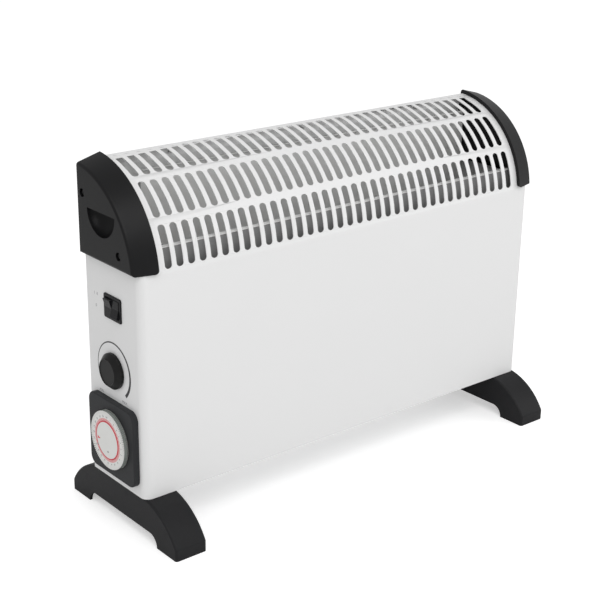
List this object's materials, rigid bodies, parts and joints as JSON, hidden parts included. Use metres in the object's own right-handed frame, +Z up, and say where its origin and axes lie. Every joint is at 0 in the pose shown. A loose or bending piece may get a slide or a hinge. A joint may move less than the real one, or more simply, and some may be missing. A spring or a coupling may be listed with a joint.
{
  "type": "convector heater",
  "caption": "Free-standing electric convector heater: sheet casing with a curved slotted top, moulded end caps and feet, rocker switches, thermostat knob and pin timer on one end.",
  "frame": {"origin": "on the floor under the middle of the casing, half way along it and half way through its depth", "axes": "+X along the casing away from the controls, +Y from the front to the back, +Z up"},
  "size_m": [0.5574, 0.195, 0.3813],
  "materials": {
    "white_paint": "satin powder coat",
    "back_paint": "satin powder coat",
    "zinc_sheet": "galvanised",
    "shield_sheet": "dull aluminised sheet",
    "black_moulding": "fine grained moulding",
    "zinc_screw": "zinc plated",
    "grommet_rubber": "plain",
    "mica": "pressed mica",
    "resistance_wire": "heat dulled",
    "cutout_ceramic": "plain",
    "switch_black": "polished moulding",
    "terminal_brass": "plain",
    "thermostat_moulding": "plain",
    "knob_black": "moulded",
    "timer_grey": "fine grained moulding",
    "hub_grey": "plain",
    "dial_white": "plain",
    "tappet_grey": "plain",
    "block_white": "plain",
    "live_wire": "sleeved",
    "heater_wire": "glass braided",
    "neutral_wire_blue": "sleeved",
    "earth_wire_green": "sleeved"
  },
  "bodies": {
    "casing": {"base_plate": "zinc_sheet", "bridge_wire": "heater_wire", "control_partition": "zinc_sheet", "cord_inlet_bush": "black_moulding", "cutout_bracket": "zinc_sheet", "cutout_wire": "heater_wire", "earth_screw": "zinc_screw", "earth_wire": "earth_wire_green", "element_brackets": "zinc_sheet", "element_rails": "zinc_sheet", "end_cap_screws": "zinc_screw", "foot_nuts": "zinc_screw", "foot_screws": "zinc_screw", "front_heat_shield": "shield_sheet", "front_shell": "white_paint", "high_heat_element": "resistance_wire", "high_wire": "heater_wire", "left_end_cap": "black_moulding", "left_foot": "black_moulding", "low_heat_element": "resistance_wire", "low_wire": "heater_wire", "mica_cards": "mica", "neutral_wire": "neutral_wire_blue", "partition_grommet": "grommet_rubber", "rear_heat_shield": "shield_sheet", "rear_panel": "back_paint", "rear_screws": "zinc_screw", "right_end_cap": "black_moulding", "right_foot": "black_moulding", "supply_wire": "live_wire", "switch_body": "switch_black", "switch_tabs": "terminal_brass", "terminal_block": "block_white", "terminal_screws": "terminal_brass", "thermal_cutout": "cutout_ceramic", "thermostat_body": "thermostat_moulding", "thermostat_nut": "zinc_screw", "thermostat_wire": "live_wire", "timer_case": "timer_grey", "timer_housing": "black_moulding", "timer_hub": "hub_grey", "timer_screws": "zinc_screw", "timer_wire": "live_wire"},
    "low_rocker": {"low_rocker": "switch_black"},
    "high_rocker": {"high_rocker": "switch_black"},
    "thermostat_knob": {"thermostat_knob": "knob_black", "thermostat_shaft": "zinc_screw"},
    "timer_dial": {"timer_dial": "dial_white", "timer_tappets": "tappet_grey"},
    "timer_tappet_1": {"timer_tappet_1": "tappet_grey"},
    "timer_tappet_2": {"timer_tappet_2": "tappet_grey"},
    "timer_tappet_3": {"timer_tappet_3": "tappet_grey"},
    "timer_tappet_4": {"timer_tappet_4": "tappet_grey"}
  },
  "joints": [
    {"name": "low_rocker_tilt", "type": "hinge", "parent": "casing", "child": "low_rocker", "pos_m": [-0.2675, -0.00609, 0.238], "axis": [0, 1, 0], "range_deg": [-16, 0]},
    {"name": "high_rocker_tilt", "type": "hinge", "parent": "casing", "child": "high_rocker", "pos_m": [-0.2675, 0.00609, 0.238], "axis": [0, 1, 0], "range_deg": [0, 16]},
    {"name": "thermostat_turn", "type": "hinge", "parent": "casing", "child": "thermostat_knob", "pos_m": [-0.274, 0.003, 0.171], "axis": [1, 0, 0], "range_deg": [-127, 136]},
    {"name": "timer_dial_turn", "type": "hinge", "parent": "casing", "child": "timer_dial", "pos_m": [-0.278, 0.0025, 0.098], "axis": [1, 0, 0], "continuous": true},
    {"name": "timer_tappet_1_press", "type": "slide", "parent": "timer_dial", "child": "timer_tappet_1", "axis": [1, 0, 0], "range_m": [0, 0.0015]},
    {"name": "timer_tappet_2_press", "type": "slide", "parent": "timer_dial", "child": "timer_tappet_2", "axis": [1, 0, 0], "range_m": [0, 0.0015]},
    {"name": "timer_tappet_3_press", "type": "slide", "parent": "timer_dial", "child": "timer_tappet_3", "axis": [1, 0, 0], "range_m": [0, 0.0015]},
    {"name": "timer_tappet_4_press", "type": "slide", "parent": "timer_dial", "child": "timer_tappet_4", "axis": [1, 0, 0], "range_m": [0, 0.0015]}
  ]
}
